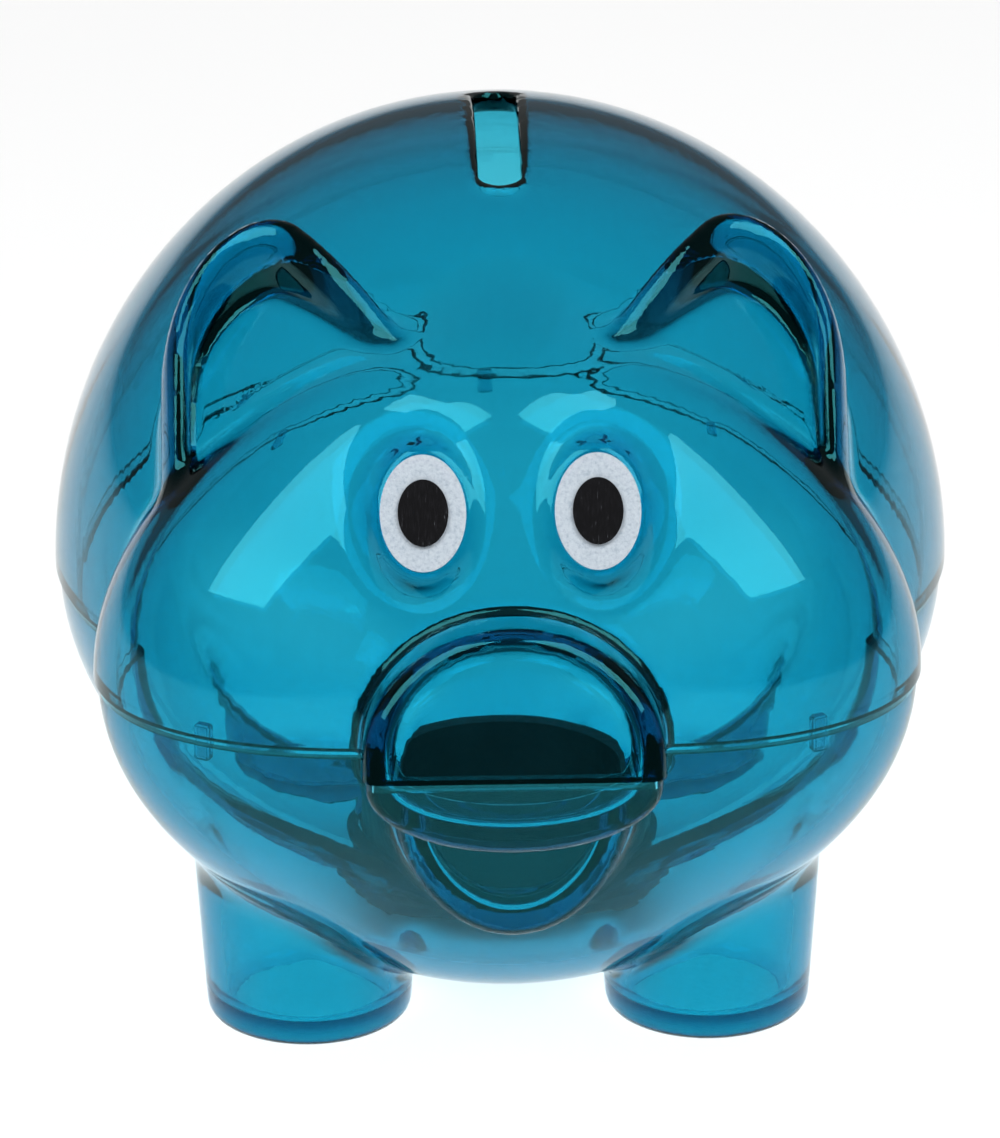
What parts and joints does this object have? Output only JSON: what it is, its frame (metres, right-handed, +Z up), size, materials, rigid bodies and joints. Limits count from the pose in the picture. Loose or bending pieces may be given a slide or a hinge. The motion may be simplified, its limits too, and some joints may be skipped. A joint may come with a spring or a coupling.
{
  "type": "piggy bank",
  "caption": "Transparent two-shell pig-shaped coin bank with a slot in its back and a rubber stopper in its belly.",
  "frame": {"origin": "on the floor under the middle of the whole length and width", "axes": "+Z up, the pig faces -Y, +X is its left side"},
  "size_m": [0.095, 0.1264, 0.0876],
  "materials": {
    "shell": "gloss",
    "plug": "matte",
    "eye_white": "matte",
    "pupil": "gloss"
  },
  "bodies": {
    "shell": {"upper_shell": "shell", "lower_shell": "shell", "eye_white_left": "eye_white", "eye_white_right": "eye_white", "pupil_left": "pupil", "pupil_right": "pupil"},
    "plug": {"belly_plug": "plug"}
  },
  "joints": [
    {"name": "plug_pull", "type": "slide", "parent": "shell", "child": "plug", "axis": [0, 0, -1], "range_m": [0, 0.012]}
  ]
}
